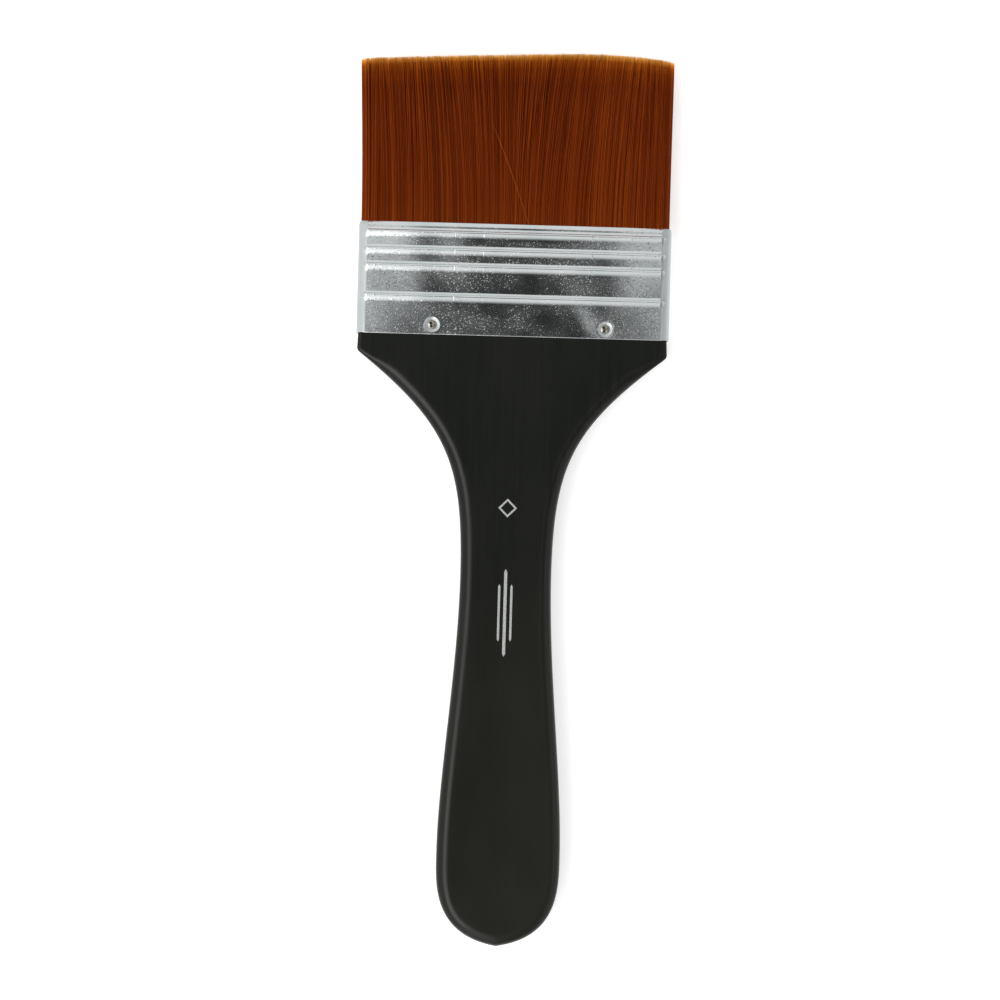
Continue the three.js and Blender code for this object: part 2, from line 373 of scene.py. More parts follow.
def filament_material():
    """Translucent orange-brown synthetic filament, each one a little different, golden at its tip."""
    material, tree, shader = new_material("filament")
    along = attribute(tree, "along")
    tone = attribute(tree, "tone")
    body = ramp(
        tree,
        along,
        (0.0, (0.228, 0.0355, 0.003)),
        (0.15, (0.213, 0.0298, 0.0023)),
        (0.82, (0.207, 0.029, 0.0023)),
        (0.91, (0.29, 0.045, 0.0029)),
        (0.96, (0.47, 0.1, 0.007)),
        (0.983, (0.75, 0.3, 0.04)),
        (1.0, (0.92, 0.5, 0.1)),
    )
    shade = ramp(tree, tone, (0.0, (0.55, 0.5, 0.45)), (0.5, (1.0, 1.0, 1.0)), (1.0, (1.5, 1.75, 1.9)))
    body = mixed(tree, "MULTIPLY", 1.0, body, shade)
    tree.links.new(body, shader.inputs["Base Color"])
    fine = noise(tree, (900, 60, 900), detail=1)
    tree.links.new(mapped(tree, fine, 0.3, 0.7, 0.38, 0.52), shader.inputs["Roughness"])
    shader.inputs["Specular IOR Level"].default_value = 0.05
    return material


def resin_material():
    """Amber setting resin with a few bubbles."""
    material, tree, shader = new_material("resin")
    bubbles = noise(tree, (700, 700, 700), detail=3)
    tint = ramp(tree, bubbles, (0.35, (0.3, 0.16, 0.04)), (0.7, (0.5, 0.34, 0.12)))
    tree.links.new(tint, shader.inputs["Base Color"])
    tree.links.new(bump(tree, bubbles, 0.0001, 0.3), shader.inputs["Normal"])
    shader.inputs["Roughness"].default_value = 0.25
    return material


def plug_material():
    """Bare softwood strip with its grain across the brush."""
    material, tree, shader = new_material("plug_wood")
    grain = noise(tree, (40, 1400, 1400), detail=4, roughness=0.6)
    tint = ramp(tree, grain, (0.3, (0.36, 0.21, 0.09)), (0.7, (0.62, 0.44, 0.24)))
    tree.links.new(tint, shader.inputs["Base Color"])
    tree.links.new(bump(tree, grain, 0.0001, 0.4), shader.inputs["Normal"])
    shader.inputs["Roughness"].default_value = 0.8
    return material


def foil_material():
    """Pale silver printing ink, a little patchy."""
    material, tree, shader = new_material("silver_print")
    patchy = noise(tree, (2500, 2500, 2500), detail=3)
    tint = ramp(tree, patchy, (0.3, (0.40, 0.41, 0.40)), (0.65, (0.62, 0.63, 0.61)))
    tree.links.new(tint, shader.inputs["Base Color"])
    tree.links.new(mapped(tree, patchy, 0.3, 0.7, 0.45, 0.65), shader.inputs["Roughness"])
    shader.inputs["Metallic"].default_value = 0.2
    return material


def floor_material():
    """Plain white studio sweep that glows a little, so that it stays white."""
    material, tree, shader = new_material("studio_floor")
    shader.inputs["Base Color"].default_value = (0.8, 0.8, 0.8, 1)
    shader.inputs["Roughness"].default_value = 0.9
    shader.inputs["Specular IOR Level"].default_value = 0.0
    shader.inputs["Emission Color"].default_value = (1, 1, 1, 1)
    shader.inputs["Emission Strength"].default_value = 0.6
    return material


# ------------------------------------------------------------------ camera, light and floor

LENS = 100  # millimetres, on a sensor 36 mm wide
VIEW_WIDTH = 246.75 * MM  # of the plane through the middle of the brush
VIEW_ROLL = math.radians(1.6)
VIEW_AIM = (-1.92 * MM, -0.38 * MM)

# Each softbox: where it starts, is full, is still full and ends across, the same along, and
# its added brightness, which is below zero for the shaded panel. The slot is laid out so too.
SOFTBOXES = [
    ((-0.62, -0.48, -0.27, -0.14), (-0.6, -0.5, -0.03, 0.05), 2.6),
    ((0.12, 0.17, 0.5, 0.7), (-1.2, -1.1, 1.1, 1.2), -0.6),
    ((-0.5, -0.4, -0.1, -0.05), (-0.95, -0.8, -0.3, -0.15), 0.8),
]
DARK_SLOT = ((-0.112, -0.034, 0.054, 0.112), (-0.7, -0.1, 0.15, 0.24))
TENT_GLOW = 0.8


def make_camera():
    data = bpy.data.cameras.new("camera")
    data.lens = LENS
    data.sensor_width = 36
    data.clip_end = 20
    camera = bpy.data.objects.new("camera", data)
    bpy.context.scene.collection.objects.link(camera)
    distance = VIEW_WIDTH * data.lens / data.sensor_width
    camera.location = (*VIEW_AIM, MIDDLE_Z + distance)
    camera.rotation_euler = (0, 0, VIEW_ROLL)
    bpy.context.scene.camera = camera


def band(tree, value, start, full, still_full, end):
    """1 in the middle of a range and 0 outside it, with a soft edge at either side."""
    settings = {"interpolation_type": "SMOOTHSTEP"}
    rise = node(tree, "ShaderNodeMapRange", settings, i0=value, i1=start, i2=full)
    fall = node(tree, "ShaderNodeMapRange", settings, i0=value, i1=end, i2=still_full)
    return math_node(tree, "MULTIPLY", rise.outputs[0], fall.outputs[0])


def patch(tree, direction, across, along):
    """A soft-edged rectangle of the sky, by how far its directions lean to +X and to +Y."""
    covered_x = band(tree, direction.outputs[0], *across)
    covered_y = band(tree, direction.outputs[1], *along)
    upper = band(tree, direction.outputs[2], 0.0, 0.1, 2, 3)
    return math_node(tree, "MULTIPLY", math_node(tree, "MULTIPLY", covered_x, covered_y), upper)


def make_world():
    """A light tent: pale walls, two softboxes and a shaded panel, and a dark slot overhead."""
    world = bpy.data.worlds.new("light_tent")
    bpy.context.scene.world = world
    world.use_nodes = True
    tree = world.node_tree
    generated = node(tree, "ShaderNodeTexCoord").outputs["Generated"]
    direction = node(tree, "ShaderNodeSeparateXYZ", i0=generated)
    glow = TENT_GLOW
    for across, along, power in SOFTBOXES:
        covered = patch(tree, direction, across, along)
        glow = math_node(tree, "ADD", glow, math_node(tree, "MULTIPLY", covered, power))
    slot = patch(tree, direction, *DARK_SLOT)
    lit = node(tree, "ShaderNodeMath", {"operation": "SUBTRACT"}, i0=1.0, i1=slot).outputs[0]
    glow = math_node(tree, "MULTIPLY", glow, mapped(tree, lit, 0, 1, 0.03, 1))
    background = tree.nodes["Background"]
    background.inputs["Color"].default_value = (1, 1, 1, 1)
    tree.links.new(glow, background.inputs["Strength"])


def make_floor():
    half = 3.0
    corners = [(-half, -half, 0), (half, -half, 0), (half, half, 0), (-half, half, 0)]
    floor = mesh_object("studio_floor", corners, [(0, 1, 2, 3)], smooth=False)
    floor.data.materials.append(floor_material())


# ------------------------------------------------------------------ ferrule


def spaced(stops, steps):
    """Places from the first stop to the last, with a step size of its own for each stretch."""
    places = [stops[0]]
    for low, high, step in zip(stops, stops[1:], steps):
        count = max(1, round(abs(high - low) / step))
        places.extend(np.linspace(low, high, count + 1)[1:])
    return np.array(places)


def wide_face_places():
    """X places along a wide face, closer together round the nails and at the beads' ends."""
    end = FERRULE_HALF_WIDTH - CORNER
    coarse, fine, reach = 0.34 * MM, 0.16 * MM, 2.4 * MM
    stops, steps = [-end, -end + 0.8 * MM], [fine]
    for x in NAIL_X:
        stops += [x - reach, x + reach]
        steps += [coarse, fine]
    stops += [end - 0.8 * MM, end]
    steps += [coarse, fine]
    return spaced(stops, steps)


def ferrule_rows():
    """Distances from the mouth, closer together over the beads and round the nails."""
    fine, coarse = 0.11 * MM, 0.4 * MM
    stops, steps = [0, 1.0 * MM], [0.12 * MM]
    for crest in BEAD_CRESTS:
        stops += [crest - BEAD_RISE, crest + BEAD_FALL]
        steps += [coarse, fine]
    stops += [FERRULE_LENGTH - 4.8 * MM, FERRULE_LENGTH - 0.3 * MM, FERRULE_LENGTH]
    steps += [coarse, 0.17 * MM, 0.06 * MM]
    return spaced(stops, steps)


def narrow_side_places():
    """Z places along a narrow side, closer together over the lapped seam."""
    end = FERRULE_HALF_THICKNESS - CORNER
    edge = 0.3 * MM
    return spaced([-end, SEAM_Z - edge, SEAM_Z + edge, end], [0.5 * MM, 0.06 * MM, 0.5 * MM])


def ferrule_section():
    """Stations round the section: place, and direction outwards."""
    wide = wide_face_places()
    narrow = narrow_side_places()
    half_x = FERRULE_HALF_WIDTH - CORNER
    half_z = FERRULE_HALF_THICKNESS - CORNER
    flats = [
        [(x, FERRULE_HALF_THICKNESS, 0, 1) for x in wide[-2:0:-1]],
        [(-FERRULE_HALF_WIDTH, z, -1, 0) for z in narrow[-2:0:-1]],
        [(x, -FERRULE_HALF_THICKNESS, 0, -1) for x in wide[1:-1]],
        [(FERRULE_HALF_WIDTH, z, 1, 0) for z in narrow[1:-1]],
    ]
    corners = [(1, 1), (-1, 1), (-1, -1), (1, -1)]
    arc_steps = 14
    stations = []
    for quarter, (side_x, side_z) in enumerate(corners):
        for step in range(arc_steps + 1):
            angle = (quarter + step / arc_steps) * math.pi / 2
            nx, nz = math.cos(angle), math.sin(angle)
            stations.append((side_x * half_x + CORNER * nx, side_z * half_z + CORNER * nz, nx, nz))
        stations.extend(flats[quarter])
    return np.array(stations)


def bead_lift(from_mouth, x):
    """Height of the rolled beads: steep on the mouth's side, then a long fall, with round ends."""
    past = (np.abs(x) - (FERRULE_HALF_WIDTH - BEAD_END - 1 * MM)) / MM
    fullness = np.sqrt(np.clip(1 - np.clip(past, 0, 1) ** 2, 0.0004, 1))
    lift = np.zeros(np.broadcast(from_mouth, x).shape)
    for crest in BEAD_CRESTS:
        past = from_mouth - crest
        rise = smoothstep(-BEAD_RISE * fullness, -0.12 * MM, past)
        skirt = np.clip(1 - past / (BEAD_FALL * fullness), 0, 1) ** 2.3
        fall = np.where(past < 0, 1, skirt + (1 - skirt) * np.exp(-((past / (0.2 * MM)) ** 2)))
        lift = np.maximum(lift, BEAD_HEIGHT * fullness * rise * fall)
    return lift


def mouth_curl(from_mouth):
    """The sheet's edge is turned in a little, towards the filaments."""
    reach = 0.95 * MM
    share = np.clip(1 - from_mouth / reach, 0, 1)
    return -0.26 * MM * share**2


def end_burr(from_mouth):
    """The sheared edge at the handle's end is rounded over a little."""
    share = np.clip(1 - (FERRULE_LENGTH - from_mouth) / (0.22 * MM), 0, 1)
    return -0.05 * MM * share**2


def crown(x, from_mouth):
    """The wide faces are pillowed a little, more where the filaments press from inside."""
    depth = 0.2 * MM + 0.34 * MM * (1 - from_mouth / FERRULE_LENGTH)
    flare = 0.2 * MM * np.clip(1 - from_mouth / (12 * MM), 0, 1) ** 2
    return -depth * np.abs(x / FERRULE_HALF_WIDTH) ** 2.2 - flare


def dish(x, y):
    """The dishes that the punch made round the nails, shallower than the sheet is thick."""
    depth = np.zeros(np.broadcast(x, y).shape)
    for index, nail_x in enumerate(NAIL_X):
        uneven = 1 + 0.05 * np.sin(3 * np.arctan2(y - NAIL_Y, x - nail_x) + 2 * index)
        radius = np.hypot(x - nail_x, y - NAIL_Y) * uneven
        slope = smoothstep(DISH_RADIUS, DISH_LIP, radius)
        hollow = smoothstep(DISH_LIP, DISH_FLOOR, radius)
        rim = np.exp(-(((radius - DISH_RADIUS) / (0.22 * MM)) ** 2))
        depth += 0.012 * MM * rim - 0.1 * MM * slope - 0.23 * MM * hollow
    return depth


def hand_dents(x, y):
    """Unevenness of hand-fitted sheet: slow waves, and a low bulge beside the right nail."""
    waves = 0.012 * MM * wave_noise(x, y, 24 * MM, 7, seed=3)
    far_x = (x - (NAIL_X[1] - 7 * MM)) / (4.4 * MM)
    far_y = (y - (NAIL_Y + 1.6 * MM)) / (6.5 * MM)
    bulge = 0.09 * MM * np.exp(-((far_x + 0.9 * far_y) ** 2) - far_y**2)
    return waves + bulge


def seam_step(station):
    """The lapped joint on one narrow side: the outer layer ends in an open edge."""
    x, z, nx = station[:, 0], station[:, 1], station[:, 2]
    on_side = (nx > 0.99) & (x > 0)
    groove = np.exp(-(((z - SEAM_Z) / (0.09 * MM)) ** 2))
    under = smoothstep(SEAM_Z + 0.1 * MM, SEAM_Z - 0.1 * MM, z) * smoothstep(-3 * MM, -2 * MM, z)
    return np.where(on_side, -0.22 * MM * groove - 0.1 * MM * under, 0)


def make_ferrule():
    """One closed sheet: its outer face, then its plain inner face, ring after ring."""
    section = ferrule_section()
    rows = ferrule_rows()
    x, z, nx, nz = (section[None, :, k] for k in range(4))
    from_mouth = rows[:, None]
    y = MOUTH_Y - from_mouth
    front = nz > 0.999
    back = nz < -0.999
    beads = bead_lift(from_mouth, x) * (np.abs(nz) > 0.6)
    lift = beads + mouth_curl(from_mouth) + end_burr(from_mouth)
    lift = lift + seam_step(section)[None, :]
    lift = lift + np.where(front, dish(x, y) + hand_dents(x, y), 0)
    lift = lift + np.where(back, dish(-x, y) + 0.7 * hand_dents(-x - 3 * MM, y), 0)
    outer = np.stack(
        [
            x + nx * lift,
            np.broadcast_to(y, lift.shape),
            MIDDLE_Z + z + nz * (lift + crown(x, from_mouth)),
        ],
        axis=-1,
    )
    inner_rows = np.array([FERRULE_LENGTH, 1.0 * MM, 0.5 * MM, 0])[:, None]
    inset = mouth_curl(inner_rows) - SHEET
    inner = np.stack(
        [
            x + nx * inset,
            np.broadcast_to(MOUTH_Y - inner_rows, (len(inner_rows), len(section))),
            MIDDLE_Z + z + nz * (inset + crown(x, inner_rows)),
        ],
        axis=-1,
    )
    rings = np.concatenate([outer, inner, outer[:1]])
    count = len(section)
    first_again = count * (len(rings) - 1)
    faces = ring_faces(len(rings), count)
    faces = np.where(faces >= first_again, faces - first_again, faces)
    piece = mesh_object("ferrule_shell", rings[:-1].reshape(-1, 3), faces)
    bead_share = np.zeros(rings.shape[:2])
    bead_share[: len(rows)] = beads / BEAD_HEIGHT
    point_attribute(piece, "bead", bead_share[:-1].reshape(-1))
    # Rougher finish at the narrow sides and round the dishes, which the material also darkens as painted
    # shade.
    satin = np.zeros(rings.shape[:2])
    satin[:] = smoothstep(FERRULE_HALF_WIDTH - 2.6 * MM, FERRULE_HALF_WIDTH - 1.5 * MM, np.abs(x))
    for nail_x in NAIL_X:
        front_x = np.where(nz < 0, -x, x)
        radius = np.hypot(front_x - nail_x, y - NAIL_Y)
        near = 0.8 * smoothstep(DISH_RADIUS + 0.3 * MM, DISH_RADIUS - 0.2 * MM, radius)
        satin[: len(rows)] = np.maximum(satin[: len(rows)], near)
    point_attribute(piece, "satin", satin[:-1].reshape(-1))
    mark_sharp(piece, 50)
    piece.data.materials.append(tinplate_material())
    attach(piece, "brush")
    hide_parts("ferrule")


def mark_sharp(piece, degrees):
    """Edges that turn more than this stay crisp."""
    piece.data.set_sharp_from_angle(angle=math.radians(degrees))


# ------------------------------------------------------------------ nails


def make_nails():
    """Driven nails: a dull head, split and pitted by the punch, on a short tapered shank."""
    around = 40
    angle = np.linspace(0, 2 * math.pi, around, endpoint=False)[None, :]
    profile = np.array(
        [
            (0.02, -4.0),
            (0.45, -3.2),
            (0.55, -2.6),
            (0.55, -1.0),
            (0.7, -0.8),
            (0.95, -0.55),
            (1.1, -0.4),
            (1.12, -0.31),
            (1.05, -0.24),
            (0.91, -0.19),
            (0.74, -0.16),
            (0.56, -0.145),
            (0.38, -0.135),
            (0.2, -0.13),
            (0.02, -0.13),
        ]
    )
    radius = profile[:, :1] * MM
    height = profile[:, 1:] * MM
    for order, name in enumerate(NAIL_NAMES):
        front = "front" in name
        nail_x = NAIL_X[0 if name.endswith("left") else 1]
        turn = 1.3 * order + 0.4
        top = np.arange(len(profile))[:, None] > 4
        wobble = 1 + 0.07 * np.sin(3 * angle + turn) + 0.04 * np.sin(5 * angle - turn)
        spread = radius * np.where(top, wobble, 1)
        across = spread * np.cos(angle)
        along = spread * np.sin(angle)
        # Pits sunk into the head, which the material paints near black as painted shade.
        pitted = np.zeros(across.shape)
        for pit_x, pit_y, size in ((-0.3, 0.34, 0.4), (-0.2, -0.42, 0.36)):
            far = np.hypot(across - pit_x * MM, along - pit_y * MM) / (size * MM)
            pitted = np.maximum(pitted, np.where(top, np.exp(-(far**2)), 0))
        # A raised burr at the left of the pits, which the material paints as a bright highlight.
        burr = np.hypot((across + 0.88 * MM) / (0.36 * MM), (along + 0.2 * MM) / (0.6 * MM))
        burr_glint = np.where(top, np.exp(-(burr**2)), 0)
        out = height - 0.17 * MM * pitted + 0.12 * MM * burr_glint
        side = 1 if front else -1
        points = np.stack(
            [
                nail_x + across,
                NAIL_Y + along * side,
                MIDDLE_Z + side * (FERRULE_HALF_THICKNESS + out),
            ],
            axis=-1,
        )
        faces = [tuple(f) for f in ring_faces(len(profile), around)]
        faces.append(tuple(range(around))[::-1])
        faces.append(tuple(range((len(profile) - 1) * around, len(profile) * around)))
        piece = mesh_object(name + "_driven", points.reshape(-1, 3), faces)
        point_attribute(piece, "pitted", pitted.reshape(-1))
        point_attribute(piece, "burr_glint", burr_glint.reshape(-1))
        piece.data.materials.append(nail_steel)
        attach(piece, "brush")
        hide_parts(name)


# ------------------------------------------------------------------ handle


def bezier(points, count):
    """Points along a quadratic or cubic curve, without its last one."""
    t = np.linspace(0, 1, count, endpoint=False)[:, None]
    points = np.array(points, float)
    while len(points) > 1:
        points = [a + (b - a) * t for a, b in zip(points[:-1], points[1:])]
    return points[0]


def board_side():
    """The right-hand outline of the board, from the ferrule down to the middle of the tail."""
    corner = np.array([HEAD_HALF_WIDTH, SHOULDER_Y])
    reach = np.array(SWEEP_REACH)
    sweep_start = corner + reach / np.linalg.norm(reach) * SHOULDER_ROUNDING
    corner_start = (HEAD_HALF_WIDTH, SHOULDER_Y + SHOULDER_ROUNDING)
    neck_above = (NECK[0], NECK[1] + 27.3 * MM)
    neck_below = (NECK[0], NECK[1] - 23 * MM)
    grip_above = (GRIP[0], GRIP[1] + 18.8 * MM)
    grip_below = (GRIP[0], GRIP[1] - 7.7 * MM)
    tail = (0, TAIL_Y)
    return np.concatenate(
        [
            bezier([(HEAD_HALF_WIDTH - HEAD_TAPER, FERRULE_END_Y), corner_start], 7),
            bezier([corner_start, corner, sweep_start], 8),
            bezier([sweep_start, corner + reach, neck_above, NECK], 100),
            bezier([NECK, neck_below, grip_above, GRIP], 64),
            bezier([GRIP, grip_below, (16 * MM, TAIL_Y + 2.5 * MM), tail], 64),
            [tail],
        ]
    )


def inward(side):
    """Unit directions from each point of the board's right side into the board."""
    along = np.gradient(side, axis=0)
    along[0] = (0, -1)
    along[-1] = (-1, 0)
    along /= np.linalg.norm(along, axis=1, keepdims=True)
    return np.stack([along[:, 1], -along[:, 0]], axis=1)


def board_levels():
    """The edge's profile from the front face round to the back: inset, height, and the edge value, which
    pales the lacquer there as rubbing and as a painted highlight.
    """
    turns = 10
    quarter = []
    for inset, edge_wear_and_sheen in ((1.5 * MM, 0.0), (0.3 * MM, 0.35)):
        quarter.append((ROUND_OVER_REACH + inset, BOARD_HALF_THICKNESS, edge_wear_and_sheen))
    for step in range(turns, -1, -1):
        angle = step / turns * math.pi / 2
        inset = ROUND_OVER_REACH * (1 - math.cos(angle))
        quarter.append((inset, BOARD_HALF_THICKNESS - ROUND_OVER * (1 - math.sin(angle)), 1.0))
    return quarter + [(inset, -height, edge_wear_and_sheen) for inset, height, edge_wear_and_sheen in quarter[::-1]]


def make_handle():
    """The board is a loft of bands from side to side, with a plain tenon inside the ferrule."""
    side = board_side()
    into = inward(side)
    from_corner = np.linalg.norm(side - (HEAD_HALF_WIDTH, SHOULDER_Y), axis=1)
    share = 0.3 + 0.7 * smoothstep(0.5 * MM, 11 * MM, from_corner)
    share = np.where(side[:, 1] > SHOULDER_Y, 0.3, share)
    bands, edge_wear_and_sheen = [], []
    for inset, height, wear_and_sheen in board_levels():
        flat = side + into * (inset * share)[:, None]
        flat[:, 0] = np.maximum(flat[:, 0], 0)
        rise = np.sign(height) * (BOARD_HALF_THICKNESS - (BOARD_HALF_THICKNESS - abs(height)) * share)
        bands.append(np.column_stack([flat, MIDDLE_Z + rise]))
        edge_wear_and_sheen.append(wear_and_sheen)
    right = np.stack(bands, axis=1)
    left = right[:, ::-1] * (-1, 1, 1)
    loops = np.concatenate([right, left], axis=1)
    around = loops.shape[1]
    faces = [tuple(f) for f in ring_faces(len(loops), around)]
    faces.append(tuple(range(around))[::-1])
    piece = mesh_object("handle_board", loops.reshape(-1, 3), faces)
    # The edge value pales the lacquer along the round-over: rubbing and a painted highlight.
    point_attribute(piece, "edge", np.tile(edge_wear_and_sheen + edge_wear_and_sheen[::-1], len(loops)))
    # How much paler the lacquer is painted towards the tail: painted sheen.
    tailward_sheen = smoothstep(20 * MM, -75 * MM, loops[:, :, 1])
    point_attribute(piece, "tailward_sheen", tailward_sheen.reshape(-1))
    tidy_mesh(piece)
    tenon_points, tenon_faces = bar_mesh(
        TENON_HALF_WIDTH,
        BANK_HALF_THICKNESS,
        FERRULE_END_Y - 1 * MM,
        FERRULE_END_Y + TENON_LENGTH,
    )
    tenon = mesh_object("tenon", tenon_points, tenon_faces, smooth=False)
    for name in ("edge", "tailward_sheen"):
        point_attribute(tenon, name, np.zeros(len(tenon_points)))
    join(piece, tenon)
    mark_sharp(piece, 40)
    piece.data.materials.append(lacquer_material())
    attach(piece, "brush")
    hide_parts("handle")


def bar_mesh(half_width, half_thickness, low_y, high_y):
    """A plain bar with a small chamfer all round, which is hidden in the ferrule."""
    c = 0.8 * MM
    section = [
        (half_width - c, half_thickness),
        (-half_width + c, half_thickness),
        (-half_width, half_thickness - c),
        (-half_width, -half_thickness + c),
        (-half_width + c, -half_thickness),
        (half_width - c, -half_thickness),
        (half_width, -half_thickness + c),
        (half_width, half_thickness - c),
    ]
    points = [(x, y, MIDDLE_Z + z) for y in (low_y, high_y) for x, z in section]
    faces = [tuple(f) for f in ring_faces(2, 8)]
    return points, faces + [tuple(range(8))[::-1], tuple(range(8, 16))]


def tidy_mesh(piece):
    """Merges points that coincide, and turns every face outwards."""
    work = bmesh.new()
    work.from_mesh(piece.data)
    bmesh.ops.remove_doubles(work, verts=work.verts[:], dist=1e-7)
    bmesh.ops.dissolve_degenerate(work, edges=work.edges[:], dist=1e-8)
    bmesh.ops.recalc_face_normals(work, faces=work.faces[:])
    work.to_mesh(piece.data)
    work.free()


def join(piece, other):
    """Adds another object's mesh to this one."""
    both = [piece, other]
    with bpy.context.temp_override(
        active_object=piece, selected_editable_objects=both, selected_objects=both
    ):
        bpy.ops.object.join()


# ------------------------------------------------------------------ printed mark


def plate(outline, low, high, points, faces):
    """Adds a thin flat plate to lists of points and faces."""
    start, count = len(points), len(outline)
    for z in (low, high):
        points.extend((x, y, z) for x, y in outline)
    faces.append(tuple(range(start, start + count))[::-1])
    faces.append(tuple(range(start + count, start + 2 * count)))
    for k in range(count):
        following = (k + 1) % count
        faces.append((start + k, start + following, start + count + following, start + count + k))


def bar_outline(x, y, width, length):
    """A slim bar along the handle, with pointed ends."""
    half_width, half_length = width / 2, length / 2
    shaft = half_length - width
    return [
        (x - half_width, y - shaft),
        (x, y - half_length),
        (x + half_width, y - shaft),
        (x + half_width, y + shaft),
        (x, y + half_length),
        (x - half_width, y + shaft),
    ]


def make_print():
    """A plain printed ornament: a lozenge, and three slim bars below it."""
    low = handle_high.z - 0.01 * MM
    high = handle_high.z + 0.02 * MM
    points, faces = [], []
    half, within = LOZENGE_HALF, LOZENGE_HALF - LOZENGE_LINE
    for quarter in range(4):
        a = quarter * math.pi / 2
        b = a + math.pi / 2
        outline = [
            (half * math.cos(a), LOZENGE_Y + half * math.sin(a)),
            (half * math.cos(b), LOZENGE_Y + half * math.sin(b)),
            (within * math.cos(b), LOZENGE_Y + within * math.sin(b)),
            (within * math.cos(a), LOZENGE_Y + within * math.sin(a)),
        ]
        plate(outline, low, high, points, faces)
    for x, length, bar_width in ((-1.5, 14, 0.55), (0, 21.5, 0.75), (1.5, 14, 0.55)):
        bar = bar_outline(x * MM, BARS_Y, bar_width * MM, length * MM)
        plate(bar, low, high, points, faces)
    piece = mesh_object("printed_mark", points, faces, smooth=False)
    piece.data.materials.append(foil_material())
    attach(piece, "brush")


# ------------------------------------------------------------------ filaments


def filament_mesh(name, paths, radii, tones, along, sides=4):
    """Thin tapered rods. Paths is filaments by rings by XYZ, radii and along are by ring."""
    filaments, rings = paths.shape[:2]
    spin = rng.uniform(0, math.pi, (filaments, 1, 1))
    angle = spin + np.arange(sides)[None, None, :] * 2 * math.pi / sides
    radius = radii[:, :, None]
    offset = np.stack(
        [np.cos(angle) * radius, np.zeros((filaments, rings, sides)), np.sin(angle) * radius], axis=-1
    )
    points = (paths[:, :, None, :] + offset).reshape(-1, 3)
    one = ring_faces(rings, sides)
    caps = np.array([np.arange(sides), (rings - 1) * sides + np.arange(sides)[::-1]])
    one = np.concatenate([one[:, ::-1], caps])
    faces = (one[None] + (np.arange(filaments) * rings * sides)[:, None, None]).reshape(-1, 4)
    piece = mesh_object(name, points, faces)
    point_attribute(piece, "tone", np.repeat(tones, rings * sides))
    point_attribute(piece, "along", np.repeat(along.reshape(-1), sides))
    piece.data.materials.append(filament_look)
    hinge_blend(piece)
    return piece


def hinge_blend(piece):
    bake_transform(piece)
    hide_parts("tuft")


def bank_filaments():
    """Places for every filament of one bank: X at the mouth, and depth from the middle, 0 to 1."""
    xs, depths = [], []
    for layer in range(LAYERS):
        depth = (layer + 0.5) / LAYERS
        z = BANK_HALF_THICKNESS * math.sqrt(depth)
        past = max(0, z - (BANK_HALF_THICKNESS - TUFT_CORNER))
        half = BANK_HALF_WIDTH - TUFT_CORNER + math.sqrt(TUFT_CORNER**2 - past**2)
        count = round(2 * half / PITCH)
        x = (np.arange(count) + 0.5) / count * 2 - 1
        x = x * (half - FILAMENT_RADIUS)
        xs.append(x + rng.uniform(-0.3, 0.3, count) * PITCH)
        depths.append(np.full(count, depth) + rng.uniform(-0.3, 0.3, count) / LAYERS)
    return np.concatenate(xs), np.clip(np.concatenate(depths), 0.01, 0.995)


def tip_line(x):
    """How far short of the longest filaments those at a place across the tips end."""
    past = x - TIP_PEAK_X
    left = np.clip(-past / (TIP_HALF_WIDTH + TIP_PEAK_X), 0, None)
    right = np.clip(past / (TIP_HALF_WIDTH - TIP_PEAK_X), 0, None)
    return TIP_DROP_LEFT * left**1.3 + TIP_DROP_RIGHT * right**2.5


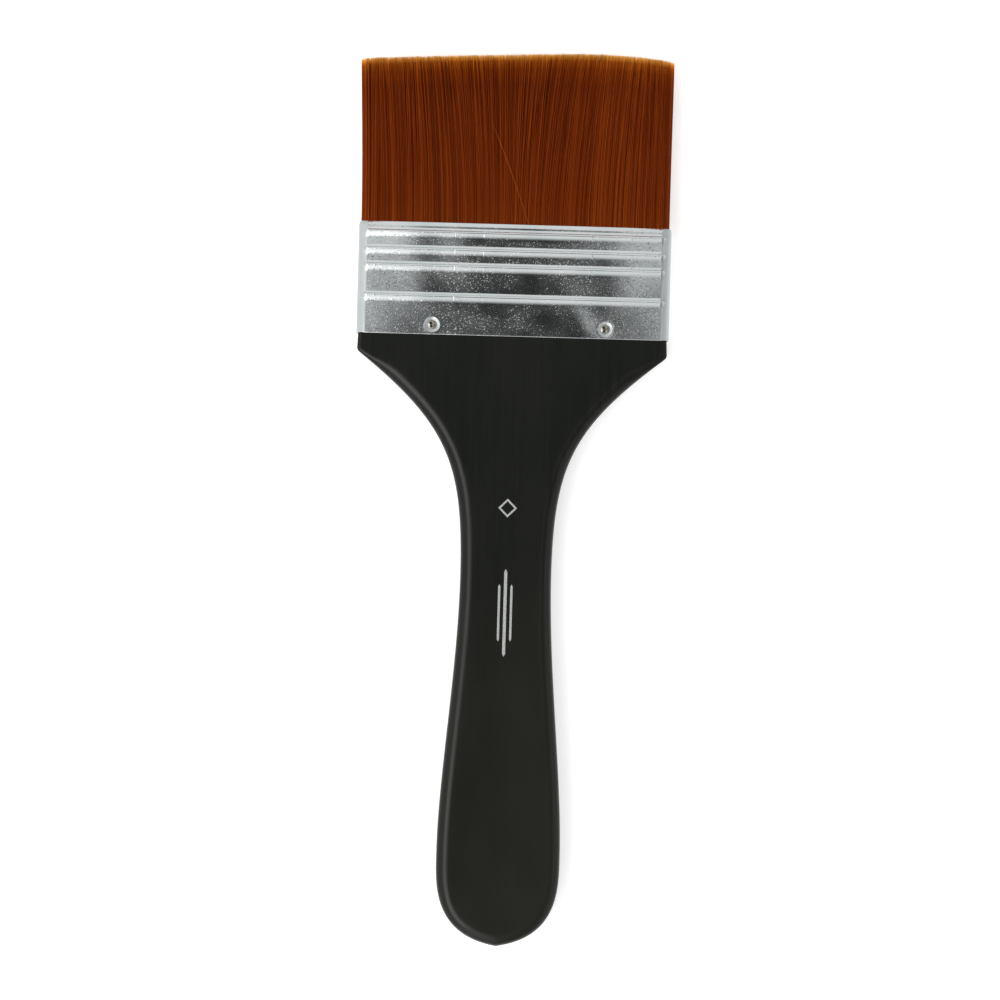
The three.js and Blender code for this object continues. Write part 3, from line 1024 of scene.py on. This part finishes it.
def make_bank(side):
    x, depth = bank_filaments()
    count = len(x)
    share = np.array([-1, -0.02, 0.1, 0.25, 0.42, 0.6, 0.76, 0.88, 0.955, 1.0])
    free = np.clip(share, 0, 1)
    spread = TIP_HALF_WIDTH / BANK_HALF_WIDTH
    fan = (0.15 + 0.85 * depth**1.4) * (1 - (x / BANK_HALF_WIDTH) ** 2)
    fan *= FAN_RIGHT * smoothstep(-8 * MM, 11 * MM, x) - FAN_LEFT * smoothstep(4 * MM, -13 * MM, x)
    clump = 0.38 * MM * wave_noise(x, depth * 3 * MM, 9 * MM, 9, seed=20 + side)
    clump += 0.12 * MM * wave_noise(x, depth * 2 * MM, 2.4 * MM, 8, seed=40 + side)
    lean = rng.normal(0, 0.28 * MM, count)
    strays = rng.random(count) < 0.015
    lean = np.where(strays, rng.normal(0, 1.4 * MM, count), lean)
    lean = (fan + clump + lean) * np.clip((BANK_HALF_WIDTH - np.abs(x)) / (5 * MM), 0.12, 1)
    tip_x = x * spread + lean + TIP_SHIFT
    path_x = x[:, None] + (tip_x - x)[:, None] * free[None, :] ** 1.6
    mouth_z = BANK_HALF_THICKNESS * np.sqrt(depth) - 0.05 * MM
    root_z = np.interp(depth, [0, 1], [PLUG_HALF_THICKNESS + 0.3 * MM, BANK_HALF_THICKNESS - 0.1 * MM])
    wander = 0.07 * MM * wave_noise(x, depth * 2 * MM, 2.6 * MM, 8, seed=60 + side)
    tip_z = TIP_HALF_THICKNESS * depth + wander + rng.normal(0, 0.05 * MM, count)
    path_z = mouth_z[:, None] + (tip_z - mouth_z)[:, None] * free[None, :] ** 1.15
    path_z[:, 0] = root_z
    short = np.abs(rng.normal(0, 0.16 * MM, count))
    short += np.where(rng.random(count) < 0.03, rng.uniform(0, 1.6 * MM, count), 0)
    length = FREE_LENGTH - tip_line(tip_x) - short
    path_y = MOUTH_Y + length[:, None] * share[None, :]
    path_y[:, 0] = root_low.y + 0.2 * MM
    paths = np.stack([path_x, path_y, MIDDLE_Z + side * path_z], axis=-1)
    taper = np.interp(free, [0, 0.8, 0.95, 1], [1, 0.92, 0.62, 0.22])
    thick = rng.uniform(0.85, 1.12, count)
    radii = FILAMENT_RADIUS * thick[:, None] * taper[None, :]
    tones = 0.52 + rng.normal(0, 0.26, count)
    tones += 0.04 * wave_noise(x, depth * MM, 9 * MM, 6, seed=80 + side)
    tones += 0.17 * wave_noise(x, depth * 0.3 * MM, 0.6 * MM, 14, seed=90 + side)
    # The filaments at the sides of the bank get a lighter tone: painted light where the side light falls
    # on them.
    edge = smoothstep(BANK_HALF_WIDTH - 2 * MM, BANK_HALF_WIDTH - 0.6 * MM, np.abs(x))
    tones = np.clip(tones + 0.5 * edge, 0, 1)
    along = np.broadcast_to(free, (count, len(share)))
    order = np.argsort(x, kind="stable")
    for part, chosen in enumerate(np.array_split(order, PARTS_PER_BANK)):
        name = f"filaments_{'front' if side > 0 else 'back'}_{part + 1}"
        piece = filament_mesh(name, paths[chosen], radii[chosen], tones[chosen], along[chosen])
        root = "front_bank_root" if side > 0 else "back_bank_root"
        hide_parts(root)


def make_stray():
    """One loose filament lying slantwise over the front of the tuft."""
    share = np.linspace(0, 1, 12)
    x = 3.4 * MM - 10 * MM * share + 0.5 * MM * np.sin(share * 2.4)
    y = MOUTH_Y - 0.3 * MM + LOOSE_LENGTH * share
    narrowing = (BANK_HALF_THICKNESS - TIP_HALF_THICKNESS) / FREE_LENGTH
    surface = BANK_HALF_THICKNESS - narrowing * (y - MOUTH_Y)
    z = MIDDLE_Z + surface + 0.25 * MM + 0.15 * MM * np.sin(share * math.pi)
    paths = np.stack([x, y, z], axis=-1)[None]
    radii = np.full((1, 12), LOOSE_RADIUS)
    radii[0, -2:] *= (0.7, 0.3)
    filament_mesh("filament_loose", paths, radii, np.array([1.0]), 0.92 + 0.03 * share[None, :])


# ------------------------------------------------------------------ build

NAIL_NAMES = ["nail_front_left", "nail_front_right", "nail_back_left", "nail_back_right"]

nail_steel = nail_material()
filament_look = filament_material()

make_camera()
make_world()
make_floor()
make_handle()
make_ferrule()
make_nails()
make_print()
make_bank(1)
make_bank(-1)
make_stray()

for name, material in (("resin_set", resin_material()), ("spacer_plug", plug_material())):
    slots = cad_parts[name].material_slots
    slots[0].material = material

bpy.context.scene.view_settings.view_transform = "Standard"
